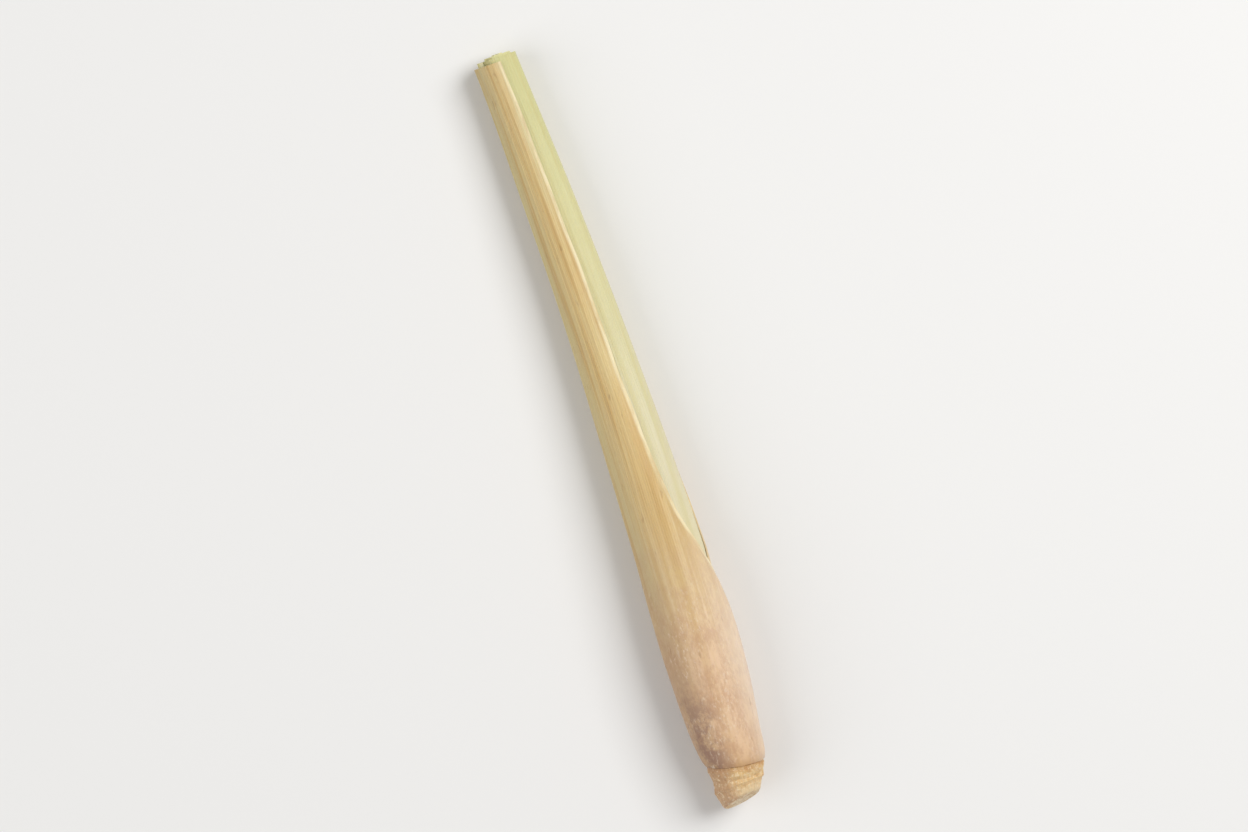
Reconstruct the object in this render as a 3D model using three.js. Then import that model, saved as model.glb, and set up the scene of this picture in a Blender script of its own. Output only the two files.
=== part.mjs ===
// A cut lemongrass stalk lying on a flat surface, in millimetres, +Z up.
// The stalk lies along X: root end at -X, cut leaf end at +X. Its origin is the middle of its
// footprint, on the surface. Rolled leaf sheaths are nested round a short solid stem base.
import * as THREE from "three";

// Driving dimensions of the whole stalk
const STALK_LENGTH = 146; // cut root end to cut leaf end
const BOW_RISE = 2.2; // how far the middle bows to -Y from the line between the ends
const WIDTH_RATIO = 1.035; // the section is a little wider than it is tall
const HEIGHT_RATIO = 0.975;
const ROLL_GAP = 0.15; // air between one rolled layer and the next
const LIP_WALL = 0.62; // thickness of a sheath at its free margin
const TUCK_WALL = 0.62; // thickness of the margin that is tucked under the other one

const SWELL_PLACE = 31; // where the bulb is widest, from the root end

// Outer radius of the rolled stalk at distances from the root end
const STALK_RADIUS = [
  [7.4, 5.5], [8, 5.75], [9.2, 5.98], [12.6, 6.32], [16.4, 6.65], [21, 6.95], [31, 7.25],
  [52, 6.8], [84, 5.9], [116, 5.15], [146, 4.55],
];
// Sideways place of the section, towards +Y: the stub bends a little off the bulb's line
const SIDE_SHIFT = [[0, 0.35], [6.8, -0.1], [14, 0.1], [25, 0], [146, 0]];
// How far the round underside stays off the surface, but for three low swellings that it lies on
const UNDERSIDE_CLEARANCE = [[0, 0.2], [146, 0.15]];
// Each swelling's place along and to the side, and how far it stands out and spreads
const REST_SWELLINGS = [
  { along: 27, side: 2, rise: 0.7, length: 7, width: 1.7 },
  { along: 55, side: -2.1, rise: 0.65, length: 6, width: 1.5 },
  { along: 138, side: 0, rise: 0.3, length: 5, width: 1.5 },
];
const SWELLING_REACH = 4; // they fade out upwards over this height below the stalk's middle

// The stem base
const STUB_LENGTH = 7.15;
const STUB_RADIUS = [
  [0, 3.4], [0.4, 3.85], [1.5, 4.3], [2.5, 4.6], [3, 4.85], [3.7, 4.8], [5.4, 5.2], [6.4, 5.45], [7.15, 5.25],
];
const STUB_STATIONS = [0, 0.4, 1.2, 1.9, 2.5, 3, 3.6, 4.3, 5, 5.7, 6.2, 6.6, STUB_LENGTH];
const STUB_POINTS = 36;
const STEM_TIP_LENGTH = 19.6;
const STEP_PARTS = [0, 0.2, 0.4, 0.7, 1];
const STEP_RISE = 0.02; // each step of the stem cone takes this much length
const STEM_CLEARANCE = 0.1;
const SEAT_GAP = 0.22; // between the foot of a sheath and the step that it grew from
const ROOT_NUBS = {
  count: 7,
  height: 0.5,
  spread: 0.75,
  turn: 137.5, // degrees from one nub to the next
  firstTurn: 40,
  top: 5.1,
  rowStep: 1.25,
  rows: 3,
};

// Slope of the cross section, towards +X for each millimetre to the side and up: both ends are cut
// askew, and the scar ring leans the other way from the root cut
const TILT_TO_SIDE = [[0, -0.24], [4, -0.02], [7.3, 0.12], [14, 0], [130, 0], [146, 0.05]];
const TILT_UPWARDS = [[0, 0.26], [4, 0.02], [7.3, -0.14], [14, 0], [130, 0], [146, -0.09]];

// Angles of a sheath in degrees, round the stalk: 0 at +Y, 90 at the top, 180 at -Y
const EASE_IN_LIP = 24; // over which a sheath thins towards its margin
const EASE_INTO_TUCK = 45; // over which the inner margin steps down under the outer one
const TUCK_CLEARANCE = 4.5; // the step is complete this far before the outer margin
const BED_RELEASE = 45; // over which the layer below rises again past the tucked margin

const MARGIN_ROUNDING = 0.3; // how far a margin bulges, as a share of its thickness
const RIBS_FROM = 14; // the veins stand out from here, and fully RIBS_GROW_OVER further on
const RIBS_GROW_OVER = 40;
// The low ridge along the back of the oldest sheath, at an angle in degrees and as wide in radians
const KEEL = { angle: 12, height: 0.3, width: 0.16, from: 12, growsOver: 30 };

const DEGREE = Math.PI / 180;

const clamp01 = (v) => Math.min(1, Math.max(0, v));
const smooth = (v) => {
  const t = clamp01(v);
  return t * t * (3 - 2 * t);
};

// A smooth curve through [place, value] pairs that never overshoots them
function curveThrough(points) {
  const slopes = points.map((p, i) => {
    if (i === 0 || i === points.length - 1) return 0;
    const before = (p[1] - points[i - 1][1]) / (p[0] - points[i - 1][0]);
    const after = (points[i + 1][1] - p[1]) / (points[i + 1][0] - p[0]);
    return before * after <= 0 ? 0 : (2 * before * after) / (before + after);
  });
  return (at) => {
    const last = points.length - 1;
    if (at <= points[0][0]) return points[0][1];
    if (at >= points[last][0]) return points[last][1];
    const i = points.findIndex((p) => p[0] > at) - 1;
    const span = points[i + 1][0] - points[i][0];
    const t = (at - points[i][0]) / span;
    const t2 = t * t;
    const t3 = t2 * t;
    return (
      (2 * t3 - 3 * t2 + 1) * points[i][1] +
      (t3 - 2 * t2 + t) * span * slopes[i] +
      (3 * t2 - 2 * t3) * points[i + 1][1] +
      (t3 - t2) * span * slopes[i + 1]
    );
  };
}

const stalkRadius = curveThrough(STALK_RADIUS);
const sideShift = curveThrough(SIDE_SHIFT);
const undersideClearance = curveThrough(UNDERSIDE_CLEARANCE);
const stubRadius = curveThrough(STUB_RADIUS);
const tiltToSide = curveThrough(TILT_TO_SIDE);
const tiltUpwards = curveThrough(TILT_UPWARDS);

// How far the swellings lower the underside at a place in the section
function swellingDrop(along, side, up) {
  let drop = 0;
  for (const swelling of REST_SWELLINGS) {
    const ahead = (along - swelling.along) / swelling.length;
    const aside = (side - swelling.side) / swelling.width;
    drop += swelling.rise * Math.exp(-(ahead ** 2) - aside ** 2);
  }
  return drop * smooth(-up / SWELLING_REACH);
}

// The point at a distance from the root end and a place across the section
function stalkPoint(along, side, up) {
  const bowRadius = STALK_LENGTH ** 2 / (8 * BOW_RISE);
  const turn = (along - STALK_LENGTH / 2) / bowRadius;
  const ahead = tiltToSide(along) * side + tiltUpwards(along) * up;
  const across = side + sideShift(along);
  const middle = stalkRadius(Math.max(along, SWELL_PLACE)) * HEIGHT_RATIO + undersideClearance(along);
  return new THREE.Vector3(
    bowRadius * Math.sin(turn) - across * Math.sin(turn) + ahead * Math.cos(turn),
    bowRadius * (1 - Math.cos(turn)) + across * Math.cos(turn) + ahead * Math.sin(turn),
    Math.max(0, middle + up - swellingDrop(along, side, up)),
  );
}

// The shorter way round from one angle to another, in radians
function turnFrom(start, angle) {
  return Math.atan2(Math.sin(angle - start), Math.cos(angle - start));
}

// The rounded outside of the stalk: slightly oval, with the low keel of the outer sheath's back
function stalkOutside(angle, along) {
  const oval = Math.hypot(WIDTH_RATIO * Math.cos(angle), HEIGHT_RATIO * Math.sin(angle));
  const fromKeel = turnFrom(KEEL.angle * DEGREE, angle) / KEEL.width;
  const grown = smooth((along - KEEL.from) / KEEL.growsOver);
  return stalkRadius(along) * oval + KEEL.height * grown * Math.exp(-(fromKeel ** 2));
}

// The four rolled sheaths, from the oldest to the youngest. `lip` is the angle of the outer margin
// and `overlap` how far the inner margin reaches past it, both in degrees; a negative overlap is
// an opening. `tucked` is 1 where the inner margin lies under the outer one. A tucked margin that
// is `pressedIn` lies in a groove of the next sheath, else all the layers below give way to it.
const OUTER = {
  name: "sheath_outer",
  color: 0xc9a877,
  from: 7.15 + SEAT_GAP,
  to: 144.7,
  wall: curveThrough([[7.4, 1.25], [11, 1.6], [22, 1.35], [45, 1.05], [90, 0.86], [146, 0.8]]),
  lip: curveThrough([[7.4, 203], [30, 198], [40, 178], [47, 148], [56, 121], [66, 108], [84, 101], [146, 97]]),
  overlap: curveThrough([
    [7.4, -18], [12, -6], [20, 34], [31, 30], [39, -3], [47, -40], [58, -80], [84, -122], [146, -134],
  ]),
  tucked: curveThrough([[7.4, 0], [12, 1], [39, 1], [48, 0], [146, 0]]),
  pressedIn: true,
  ribs: 0.09,
  outsidePoints: 43,
  insidePoints: 37,
  stations: [
    8, 8.8, 9.9, 11.4, 13.2, 15, 17, 19, 21.5, 25, 30, 34.5, 38.5, 42, 45.5, 49.5, 54.5, 60.5, 68, 77, 87,
    97, 107, 117, 127, 137,
  ],
};
const SECOND = {
  name: "sheath_second",
  color: 0xdcd49a,
  from: 10.6,
  to: 145.6,
  wall: curveThrough([[10, 1.45], [44, 1.4], [60, 0.92], [146, 0.74]]),
  lip: curveThrough([[10, 14], [60, 20], [146, 26]]),
  overlap: curveThrough([[10, -16], [15, -6], [25, 34], [146, 44]]),
  tucked: curveThrough([[10, 0], [15, 1], [146, 1]]),
  pressedIn: false,
  ribs: 0.07,
  outsidePoints: 39,
  insidePoints: 37,
  stations: [11.4, 13.2, 15, 17, 19, 21.5, 25, 30, 34.5, 38.5, 42, 45.5, 49.5, 54.5, 60.5, 77, 97, 117, 137],
};
const THIRD = {
  name: "sheath_third",
  color: 0xe3e0b2,
  from: 13.8,
  to: 146,
  wall: curveThrough([[13, 1], [30, 0.85], [146, 0.68]]),
  lip: curveThrough([[13, 186], [146, 194]]),
  overlap: () => -13,
  tucked: () => 0,
  pressedIn: false,
  ribs: 0,
  outsidePoints: 34,
  insidePoints: 27,
  stations: [15, 17, 19, 21.5, 25, 30, 38.5, 42, 45.5, 49.5, 54.5, 60.5, 77, 97, 117, 137],
};
const FOURTH = {
  name: "sheath_fourth",
  color: 0xe9e7c4,
  from: 17,
  to: 145.8,
  wall: curveThrough([[17, 0.85], [146, 0.64]]),
  lip: curveThrough([[17, 340], [146, 330]]),
  overlap: curveThrough([[17, -50], [146, -70]]),
  tucked: () => 0,
  pressedIn: false,
  ribs: 0,
  outsidePoints: 28,
  insidePoints: 22,
  stations: [19, 21.5, 25, 30, 38.5, 49.5, 60.5, 77, 97, 117, 137],
};
const SHEATHS = [OUTER, SECOND, THIRD, FOURTH];

const HEART = {
  name: "leaf_heart",
  color: 0xeeecd0,
  from: 20,
  to: 146.2,
  foldAngle: 90 * DEGREE,
  foldWidth: 0.42,
  foldDepth: 0.5,
  points: 26,
  stations: [21.5, 25, 30, 38.5, 49.5, 60.5, 77, 97, 117, 137],
};

// How much of its step down a rolled sheath has made, at an unrolled angle in degrees
function tuckStep(sheath, along, unrolled) {
  const end = 360 + Math.min(0, sheath.overlap(along)) - TUCK_CLEARANCE;
  return sheath.tucked(along) * smooth((unrolled - end) / EASE_INTO_TUCK + 1);
}

// How far the layer below must give way to a sheath's tucked margin, from 0 to 1
function tuckBed(sheath, along, angle) {
  const turned = (sheath.lip(along) - angle / DEGREE) % 360;
  const unrolled = turned < 0 ? turned + 360 : turned;
  const release = 360 + sheath.overlap(along) + TUCK_CLEARANCE;
  const cover = (at) => tuckStep(sheath, along, at) * smooth(1 - (at - release) / BED_RELEASE);
  return Math.max(cover(unrolled), cover(unrolled + 360));
}

// How deep a sheath's tucked margin reaches into what lies below it
function tuckDepth(layer, angle, along) {
  return tuckBed(SHEATHS[layer], along, angle) * (ROLL_GAP + TUCK_WALL);
}

// Radius that a layer of the roll is wrapped on, before a margin is pressed into it
function layerBase(layer, angle, along) {
  if (layer === 0) return stalkOutside(angle, along);
  const above = SHEATHS[layer - 1];
  const given = above.pressedIn ? 0 : tuckDepth(layer - 1, angle, along);
  return layerBase(layer - 1, angle, along) - above.wall(along) - given - ROLL_GAP;
}

// Outside radius of a layer of the roll; the layer after the last sheath is the heart
function layerOutside(layer, angle, along) {
  const pressed = layer > 0 && SHEATHS[layer - 1].pressedIn;
  return layerBase(layer, angle, along) - (pressed ? tuckDepth(layer - 1, angle, along) : 0);
}

// The closed section of a rolled sheath: its outside from lip to inner margin, and its inside back
function sheathSection(layer, along) {
  const sheath = SHEATHS[layer];
  const wall = sheath.wall(along);
  const span = 360 + sheath.overlap(along);
  const open = 1 - sheath.tucked(along);
  const ribDepth = sheath.ribs * smooth((along - RIBS_FROM) / RIBS_GROW_OVER);
  const radii = (unrolled) => {
    const angle = (sheath.lip(along) - unrolled) * DEGREE;
    const rim = layerOutside(layer, angle, along);
    const floor = layerBase(layer, angle, along) - wall;
    const step = tuckStep(sheath, along, unrolled);
    const atLip = 1 - smooth(unrolled / EASE_IN_LIP);
    const atEnd = open * (1 - smooth((span - unrolled) / EASE_IN_LIP));
    const thinned = (wall - LIP_WALL) * Math.max(atLip, atEnd);
    return {
      angle,
      outside: rim - thinned - step * (rim - floor + ROLL_GAP),
      inside: floor - step * (ROLL_GAP + TUCK_WALL),
    };
  };
  const loop = [];
  const put = (radius, angle) => loop.push([radius * Math.cos(angle), radius * Math.sin(angle)]);
  const putMargin = (unrolled, outward) => {
    const at = radii(unrolled);
    const middle = (at.outside + at.inside) / 2;
    const bulge = MARGIN_ROUNDING * (at.outside - at.inside);
    put(middle, at.angle + (outward * bulge) / middle);
  };
  for (let i = 0; i < sheath.outsidePoints; i++) {
    const at = radii((span * i) / (sheath.outsidePoints - 1));
    const groove = i % 2 === 1 ? ribDepth : 0;
    put(at.outside - groove, at.angle);
  }
  putMargin(span, -1);
  for (let i = sheath.insidePoints - 1; i >= 0; i--) {
    const at = radii((span * i) / (sheath.insidePoints - 1));
    put(at.inside, at.angle);
  }
  putMargin(0, 1);
  return loop;
}

// One closed body through sections that all have the same number of points
function loft(sections) {
  const count = sections[0].loop.length;
  const positions = [];
  const indices = [];
  for (const { along, loop } of sections) {
    for (const [side, up] of loop) positions.push(...stalkPoint(along, side, up).toArray());
  }
  for (let s = 0; s + 1 < sections.length; s++) {
    for (let i = 0; i < count; i++) {
      const a = s * count + i;
      const b = s * count + ((i + 1) % count);
      indices.push(a, a + count, b, b, a + count, b + count);
    }
  }
  const cap = (s, facing) => {
    const outline = sections[s].loop.map(([x, y]) => new THREE.Vector2(x, y));
    for (const [a, b, c] of THREE.ShapeUtils.triangulateShape(outline, [])) {
      const face = [a, b, c].map((i) => s * count + i);
      const area = new THREE.Vector2()
        .subVectors(outline[b], outline[a])
        .cross(new THREE.Vector2().subVectors(outline[c], outline[a]));
      if (Math.sign(area) !== facing) face.reverse();
      indices.push(...face);
    }
  };
  cap(0, -1);
  cap(sections.length - 1, 1);
  const geometry = new THREE.BufferGeometry();
  geometry.setAttribute("position", new THREE.Float32BufferAttribute(positions, 3));
  geometry.setIndex(indices);
  return geometry;
}

function makeSheath(layer) {
  const sheath = SHEATHS[layer];
  const places = [sheath.from, ...sheath.stations, sheath.to];
  return loft(places.map((along) => ({ along, loop: sheathSection(layer, along) })));
}

// The innermost folded leaf: a solid roll with a groove where its two halves meet
function makeHeart() {
  const places = [HEART.from, ...HEART.stations, HEART.to];
  const section = (along) => {
    const loop = [];
    for (let i = 0; i < HEART.points; i++) {
      const angle = -(i / HEART.points) * 2 * Math.PI;
      const fromFold = turnFrom(HEART.foldAngle, angle) / HEART.foldWidth;
      const fold = 1 - HEART.foldDepth * Math.exp(-(fromFold ** 2));
      const radius = layerOutside(SHEATHS.length, angle, along) * fold;
      loop.push([radius * Math.cos(angle), radius * Math.sin(angle)]);
    }
    return loop;
  };
  return loft(places.map((along) => ({ along, loop: section(along) })));
}

// The narrowest radius left inside the sheaths that have already started at this place
function stemRadius(layersStarted, along) {
  let narrowest = Infinity;
  for (let angle = 0; angle < 360; angle += 5) {
    narrowest = Math.min(narrowest, layerOutside(layersStarted, angle * DEGREE, along));
  }
  return narrowest - STEM_CLEARANCE;
}

// The stub below the bulb, with its scar ring and root nubs, and the stepped stem cone inside
function makeStub() {
  const nubs = [...Array(ROOT_NUBS.count).keys()].map((i) => ({
    angle: (i * ROOT_NUBS.turn + ROOT_NUBS.firstTurn) * DEGREE,
    along: ROOT_NUBS.top - (i % ROOT_NUBS.rows) * ROOT_NUBS.rowStep,
  }));
  const nubHeight = (angle, along, radius) =>
    nubs.reduce((sum, nub) => {
      const distance = Math.hypot(turnFrom(nub.angle, angle) * radius, along - nub.along);
      return sum + ROOT_NUBS.height * Math.exp(-((distance / ROOT_NUBS.spread) ** 2));
    }, 0);
  const ring = (along, radiusAt) => {
    const loop = [];
    for (let i = 0; i < STUB_POINTS; i++) {
      const angle = -(i / STUB_POINTS) * 2 * Math.PI;
      const radius = radiusAt(angle);
      loop.push([radius * Math.cos(angle), radius * Math.sin(angle)]);
    }
    return { along, loop };
  };
  const sections = [];
  for (const along of STUB_STATIONS) {
    const radius = stubRadius(along);
    sections.push(ring(along, (angle) => radius + nubHeight(angle, along, radius)));
  }
  const steps = [STUB_LENGTH, ...SHEATHS.slice(1).map((s) => s.from - SEAT_GAP), STEM_TIP_LENGTH];
  for (let i = 0; i + 1 < steps.length; i++) {
    const foot = steps[i] + STEP_RISE;
    const head = steps[i + 1];
    for (const part of STEP_PARTS) {
      const along = foot + (head - foot) * part;
      const radius = stemRadius(i + 1, along);
      sections.push(ring(along, () => radius));
    }
  }
  return loft(sections);
}

const STUB_COLOR = 0xc49a68;
const DRY_ROUGHNESS = 0.85;
const MOIST_ROUGHNESS = 0.6;

function addPiece(group, name, geometry, color, roughness) {
  const mesh = new THREE.Mesh(geometry, new THREE.MeshStandardMaterial({ color, roughness, metalness: 0 }));
  mesh.name = name;
  group.add(mesh);
}

const stalk = new THREE.Group();
addPiece(stalk, "root_stub", makeStub(), STUB_COLOR, DRY_ROUGHNESS);
SHEATHS.forEach((sheath, layer) => {
  addPiece(stalk, sheath.name, makeSheath(layer), sheath.color, MOIST_ROUGHNESS);
});
addPiece(stalk, HEART.name, makeHeart(), HEART.color, MOIST_ROUGHNESS);

// The origin goes to the middle of the footprint, and the flats stay at Z = 0
const footprint = new THREE.Box3().setFromObject(stalk).getCenter(new THREE.Vector3());
stalk.position.set(-footprint.x, -footprint.y, 0);

export default stalk;
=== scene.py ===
"""The looks of a cut lemongrass stalk: finer sheaths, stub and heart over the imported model."""
import logging
import math
from dataclasses import dataclass
from enum import Enum
from functools import reduce

import bmesh
import bpy
import numpy as np
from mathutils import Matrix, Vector, noise


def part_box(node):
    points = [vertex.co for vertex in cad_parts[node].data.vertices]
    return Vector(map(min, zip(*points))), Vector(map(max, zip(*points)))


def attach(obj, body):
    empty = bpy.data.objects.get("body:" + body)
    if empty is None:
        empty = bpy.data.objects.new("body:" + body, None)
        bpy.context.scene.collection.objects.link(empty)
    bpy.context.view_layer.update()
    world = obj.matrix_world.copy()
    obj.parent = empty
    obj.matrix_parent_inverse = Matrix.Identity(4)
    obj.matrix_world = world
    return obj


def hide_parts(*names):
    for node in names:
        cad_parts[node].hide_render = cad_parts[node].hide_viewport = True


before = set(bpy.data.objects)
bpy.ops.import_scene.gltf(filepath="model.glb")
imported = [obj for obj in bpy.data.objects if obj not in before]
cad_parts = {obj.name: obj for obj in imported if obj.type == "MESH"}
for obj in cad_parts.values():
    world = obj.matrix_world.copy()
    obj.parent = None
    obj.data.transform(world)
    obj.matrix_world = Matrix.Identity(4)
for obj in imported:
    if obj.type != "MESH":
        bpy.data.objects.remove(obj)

LOG = logging.getLogger("lemongrass")
MM = 0.001
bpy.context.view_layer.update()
SHEET_UV = "sheet"
GRAIN_UV = "grain"
FULL_TURN = 360.0

Array = np.ndarray
Rings = tuple[np.ndarray, np.ndarray]
Span = tuple[float, float]
Triple = tuple[float, float, float]
Pairs = tuple[Span, ...]
Stops = tuple[tuple[float, str], ...]
Socket = bpy.types.NodeSocket
Outputs = bpy.types.bpy_prop_collection
Value = Socket | float | str | Triple


def smooth(value: Array | float) -> Array:
    """An eased step that rises from 0 to 1 while its argument does."""
    t = np.clip(value, 0.0, 1.0)
    return t * t * (3.0 - 2.0 * t)


def bell(distance: Array | float, width: float) -> Array:
    """A smooth bump that is 1 at no distance and dies out past its width."""
    return np.exp(-((np.asarray(distance) / width) ** 2))


def turn_from(start: float, angle: Array) -> Array:
    """The shorter way round from one angle to another, in degrees."""
    return (np.asarray(angle) - start + FULL_TURN / 2) % FULL_TURN - FULL_TURN / 2


@dataclass(frozen=True)
class Curve:
    """A smooth curve through (place, value) pairs that never overshoots them."""

    points: Pairs

    def __call__(self, at: Array | float) -> Array:
        """The curve's value at each place.

        Args:
            at: places along the stalk, in millimetres.

        Returns:
            The values there, held level past both ends.
        """
        places, values = np.array(self.points).T
        spans = np.diff(places)
        rises = np.diff(values) / spans
        slopes = np.zeros_like(values)
        product = rises[:-1] * rises[1:]
        total = np.where(product > 0, rises[:-1] + rises[1:], 1.0)
        slopes[1:-1] = np.where(product > 0, 2 * product / total, 0.0)
        held = np.clip(np.asarray(at, dtype=float), places[0], places[-1])
        i = np.clip(np.searchsorted(places, held, side="right") - 1, 0, len(spans) - 1)
        t = (held - places[i]) / spans[i]
        rise, fall = spans[i] * slopes[i], spans[i] * slopes[i + 1]
        start = (2 * t**3 - 3 * t**2 + 1) * values[i] + (t**3 - 2 * t**2 + t) * rise
        end = (3 * t**2 - 2 * t**3) * values[i + 1] + (t**3 - t**2) * fall
        return start + end


@dataclass(frozen=True)
class Waves:
    """Two waves along the stalk, one over the other, with their lengths in millimetres."""

    heights: Span
    lengths: Span

    def __call__(self, along: Array, first: Array | float, second: Array | float) -> Array:
        """Their height at each place.

        Args:
            along: places from the root end.
            first: how far the longer wave is shifted, in radians.
            second: how far the shorter wave is shifted.

        Returns:
            The sum of both there.
        """
        longer = self.heights[0] * np.sin(along / self.lengths[0] + first)
        return longer + self.heights[1] * np.sin(along / self.lengths[1] + second)


@dataclass(frozen=True)
class Swelling:
    """One of the low places of the underside that the stalk lies on, in millimetres."""

    along: float
    side: float
    rise: float
    length: float
    width: float

    def drop(self, along: Array, side: Array) -> Array:
        """How far it lowers the underside at a place."""
        lengthwise = self.rise * bell(along - self.along, self.length)
        return lengthwise * bell(side - self.side, self.width)


@dataclass(frozen=True)
class StalkForm:
    """The rounded, slightly bowed outside of the whole stalk, in millimetres and degrees."""

    length: float = 146.0
    bow_rise: float = 2.2
    width_ratio: float = 1.035
    height_ratio: float = 0.975
    swell_place: float = 31.0
    radius: Curve = Curve((
        (7.4, 5.5), (8, 5.75), (9.2, 5.98), (12.6, 6.32), (16.4, 6.65), (21, 6.95), (31, 7.25),
        (52, 6.8), (84, 5.9), (116, 5.15), (146, 4.55),
    ))
    side_shift: Curve = Curve(((0, 0.35), (6.8, -0.1), (14, 0.1), (25, 0), (146, 0)))
    clearance: Curve = Curve(((0, 0.2), (146, 0.15)))
    swellings: tuple[Swelling, ...] = (
        Swelling(along=27, side=2, rise=0.7, length=7, width=1.7),
        Swelling(along=55, side=-2.1, rise=0.65, length=6, width=1.5),
        Swelling(along=138, side=0, rise=0.3, length=5, width=1.5),
    )
    swelling_reach: float = 4.0
    tilt_to_side: Curve = Curve((
        (0, -0.24), (4, -0.02), (7.3, 0.12), (14, 0), (130, 0), (146, 0.05),
    ))
    tilt_upwards: Curve = Curve((
        (0, 0.26), (4, 0.02), (7.3, -0.14), (14, 0), (130, 0), (146, -0.09),
    ))
    keel_angle: float = 12.0
    keel_height: float = 0.3
    keel_width: float = 9.2
    keel_from: float = 12.0
    keel_grows_over: float = 30.0

    def outside(self, angle: Array, along: Array) -> Array:
        """Radius of the outermost layer.

        Args:
            angle: angles round the section, in degrees.
            along: places from the root end.

        Returns:
            The radius at each of them.
        """
        turn = np.radians(angle)
        oval = np.hypot(self.width_ratio * np.cos(turn), self.height_ratio * np.sin(turn))
        grown = smooth((along - self.keel_from) / self.keel_grows_over)
        keel = self.keel_height * grown * bell(turn_from(self.keel_angle, angle), self.keel_width)
        return self.radius(along) * oval + keel

    def place(self, along: Array, radius: Array, angle: Array) -> Array:
        """Points of the bowed stalk.

        Args:
            along: places from the root end.
            radius: distances from the middle of the section.
            angle: angles round the section, in degrees from +Y towards +Z.

        Returns:
            One row of X, Y and Z for each point, before the stalk is centred.
        """
        side, up = radius * np.cos(np.radians(angle)), radius * np.sin(np.radians(angle))
        bow_radius = self.length**2 / (8 * self.bow_rise)
        turn = (along - self.length / 2) / bow_radius
        ahead = self.tilt_to_side(along) * side + self.tilt_upwards(along) * up
        across = side + self.side_shift(along)
        widest = self.radius(np.maximum(along, self.swell_place))
        middle = widest * self.height_ratio + self.clearance(along)
        drop = sum(swelling.drop(along, side) for swelling in self.swellings)
        height = middle + up - drop * smooth(-up / self.swelling_reach)
        x = (bow_radius - across) * np.sin(turn) + ahead * np.cos(turn)
        y = bow_radius - (bow_radius - across) * np.cos(turn) + ahead * np.sin(turn)
        return np.stack([x, y, np.maximum(0.0, height)], axis=-1)


@dataclass(frozen=True)
class Relief:
    """Fine shape pressed into a sheath's outside, in millimetres and degrees."""

    veins: int = 48
    second_veins: int = 29
    vein_depth: float = 0.07
    vein_heights: Span = (0.3, 0.2)
    vein_sway: Span = (40.0, 70.0)
    sway: Waves = Waves(heights=(0.6, 0.35), lengths=(17.0, 6.3))
    sway_slant: float = 40.0
    foot_share: float = 0.05
    foot_end: float = 34.0
    grows_over: float = 45.0
    hollow_depth: float = 0.12
    hollows_round: tuple[int, int] = (3, 2)
    hollow_lengths: Span = (19.0, 7.7)
    lip_wave: float = 1.3
    lip_waves: Waves = Waves(heights=(0.6, 0.4), lengths=(5.1, 2.3))
    seed: float = 0.0

    def depth(self, angle: Array, along: Array) -> Array:
        """How far the surface is pressed in.

        Args:
            angle: angles round the stalk.
            along: places from the root end.

        Returns:
            The depth at each of them.
        """
        grown = smooth((along - self.foot_end) / self.grows_over)
        grown = self.foot_share + (1 - self.foot_share) * grown
        sway = self.sway(along, self.seed, angle / self.sway_slant)
        first = np.cos(np.radians(angle * self.veins + self.vein_sway[0] * sway))
        second = np.cos(np.radians(angle * self.second_veins - self.vein_sway[1] * sway))
        ridge = 0.5 + self.vein_heights[0] * first + self.vein_heights[1] * second
        many, few = (np.radians(angle * count) for count in self.hollows_round)
        drift = np.sin(along / self.hollow_lengths[0] + self.seed)
        broad = 0.5 + 0.5 * np.sin(many + drift + self.seed)
        rolling = 0.5 + 0.5 * np.sin(along / self.hollow_lengths[1] + few + self.seed * 2)
        return self.vein_depth * grown * (1 - ridge**2) + self.hollow_depth * broad * rolling

    def margin(self, along: Array) -> Array:
        """How far the free margin wanders round the stalk at each place, in degrees."""
        return self.lip_wave * self.lip_waves(along, self.seed, 0.0)


@dataclass(frozen=True)
class Sheath:
    """One rolled leaf sheath. Its angles are in degrees, its lengths in millimetres."""

    node: str
    slot: str
    start: float
    end: float
    wall: Curve
    lip: Curve
    overlap: Curve
    tucked: Curve
    relief: Relief
    pressed_in: bool = False
    lip_wall: float = 0.62
    torn_depth: float = 0.0
    round_steps: int = 200
    length_steps: int = 120
    ease_in_lip: float = 24.0
    ease_into_tuck: float = 45.0
    tuck_clearance: float = 4.5
    bed_release: float = 45.0

    def tuck_step(self, along: Array, unrolled: Array) -> Array:
        """How much of its step down the sheath has made at an unrolled angle."""
        end = FULL_TURN + np.minimum(0, self.overlap(along)) - self.tuck_clearance
        return self.tucked(along) * smooth((unrolled - end) / self.ease_into_tuck + 1)

    def tuck_bed(self, along: Array, angle: Array) -> Array:
        """How far the layer below gives way to the tucked margin.

        Args:
            along: places from the root end.
            angle: angles round the stalk.

        Returns:
            Shares from 0 to 1.
        """
        unrolled = (self.lip(along) - angle) % FULL_TURN
        release = FULL_TURN + self.overlap(along) + self.tuck_clearance

        def cover(at: Array) -> Array:
            """The share at unrolled angles of one turn."""
            return self.tuck_step(along, at) * smooth(1 - (at - release) / self.bed_release)

        return np.maximum(cover(unrolled), cover(unrolled + FULL_TURN))


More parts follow.
